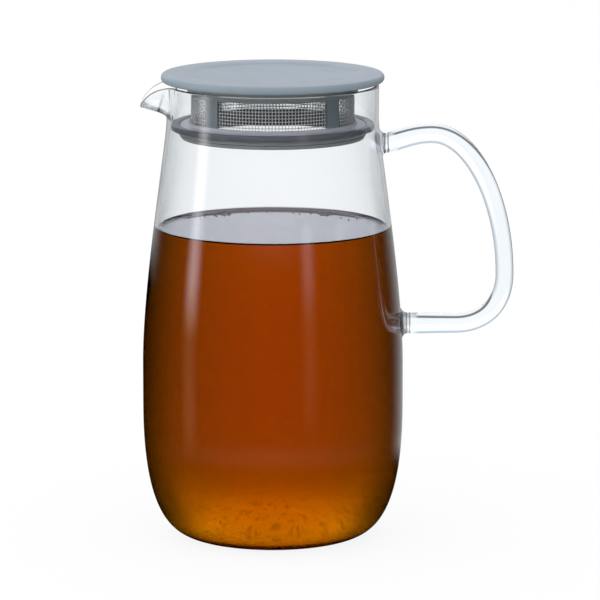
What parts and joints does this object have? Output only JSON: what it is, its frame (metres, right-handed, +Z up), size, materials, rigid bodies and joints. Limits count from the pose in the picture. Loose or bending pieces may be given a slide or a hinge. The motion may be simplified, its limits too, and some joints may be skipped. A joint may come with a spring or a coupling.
{
  "type": "tea pitcher",
  "caption": "Glass tea pitcher with a pinched spout, a bent glass rod handle and a round press-in strainer lid, whose mesh cage pours through windows on every side.",
  "frame": {"origin": "middle of the flat base", "axes": "+Z up, the jug's axis; +X towards the handle; -X towards the spout"},
  "size_m": [0.1686, 0.1182, 0.2115],
  "materials": {
    "jug_glass": "clear, fire polished",
    "handle_glass": "clear solid rod",
    "cover_plastic": "fine matte",
    "cage_plastic": "satin",
    "mesh_steel": "woven wire",
    "seal_rubber": "soft satin",
    "retainer_plastic": "satin"
  },
  "bodies": {
    "jug": {"jug_body": "jug_glass", "handle": "handle_glass"},
    "seal": {"lid_seal": "seal_rubber"},
    "lid": {"lid_cover": "cover_plastic", "strainer_frame": "cage_plastic", "strainer_mesh": "mesh_steel", "seal_retainer": "retainer_plastic"}
  },
  "joints": [
    {"name": "lid_lift", "type": "slide", "parent": "jug", "child": "seal", "axis": [0, 0, 1], "range_m": [0, 0.06]},
    {"name": "lid_turn", "type": "hinge", "parent": "seal", "child": "lid", "pos_m": [0, 0, 0.1889], "axis": [0, 0, 1], "continuous": true}
  ]
}
